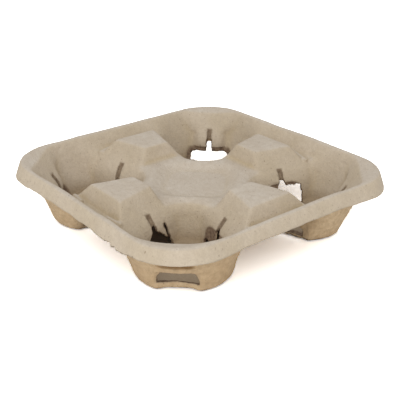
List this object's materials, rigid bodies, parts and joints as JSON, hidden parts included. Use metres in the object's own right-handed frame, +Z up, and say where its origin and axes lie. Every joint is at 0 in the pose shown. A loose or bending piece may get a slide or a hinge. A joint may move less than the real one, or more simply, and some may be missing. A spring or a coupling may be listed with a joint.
{
  "type": "moulded pulp cup carrier tray",
  "caption": "Square moulded pulp tray with rounded corners, cup pockets around a raised deck, and slotted flaps that grip the cups.",
  "frame": {"origin": "middle of the tray, at the underside of its feet", "axes": "+Z up through the middle of the deck; +X and +Y at right angles to the straight sides of the rim"},
  "size_m": [0.216, 0.216, 0.045],
  "materials": {
    "pulp": "matt, fibrous"
  },
  "bodies": {
    "root": {"tray": "pulp"}
  },
  "joints": []
}
